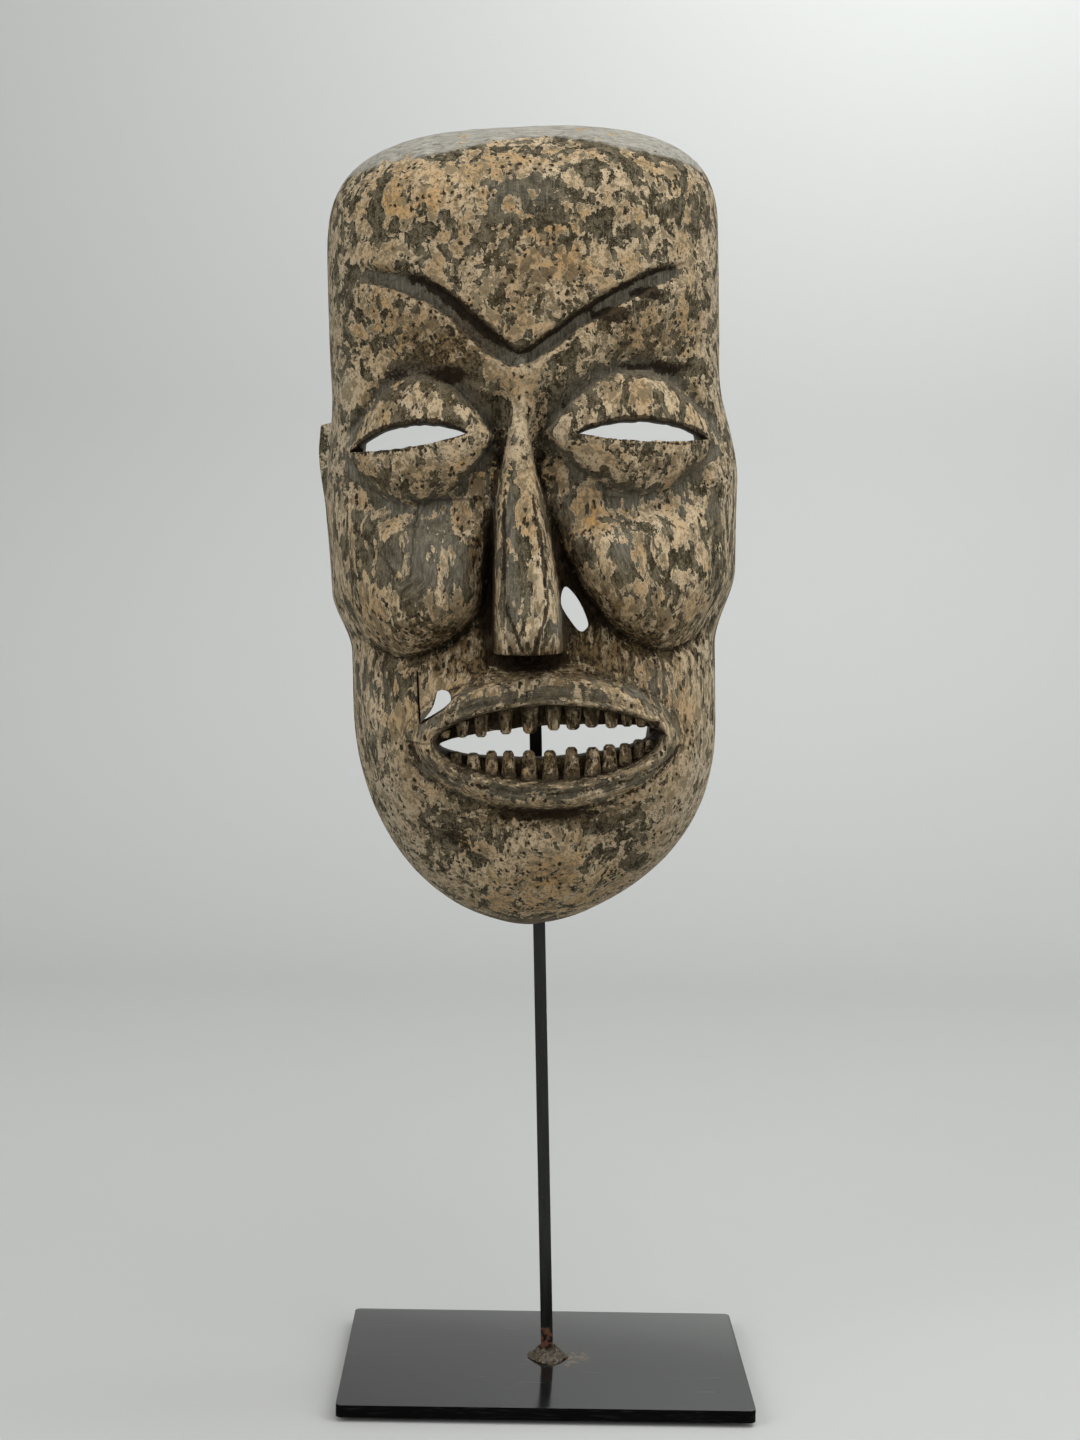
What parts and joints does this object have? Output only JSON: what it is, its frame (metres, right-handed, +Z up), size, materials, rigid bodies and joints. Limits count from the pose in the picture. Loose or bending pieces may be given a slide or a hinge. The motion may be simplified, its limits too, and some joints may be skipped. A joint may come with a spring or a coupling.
{
  "type": "african mask",
  "caption": "Carved wooden face mask with slit eyes and an open toothed mouth, held upright by a leaning square rod on a black steel plate.",
  "frame": {"origin": "on the ground, under the middle of the whole object's width and depth", "axes": "+Z up, the mask looks along -Y, +X to the viewer's right"},
  "size_m": [0.218, 0.1772, 0.6128],
  "materials": {
    "wood": "dry carved wood with a worn ochre crust over grey and black",
    "black_rod": "satin black with specks of rust",
    "weld": "rough weld bead, brown and grey",
    "black_plate": "glossy black with faint scratches",
    "felt": "pale felt"
  },
  "bodies": {
    "root": {"mask": "wood", "support_rod": "black_rod", "weld_bead": "weld", "base_plate": "black_plate", "felt_pad_1": "felt", "felt_pad_2": "felt", "felt_pad_3": "felt", "felt_pad_4": "felt"}
  },
  "joints": []
}
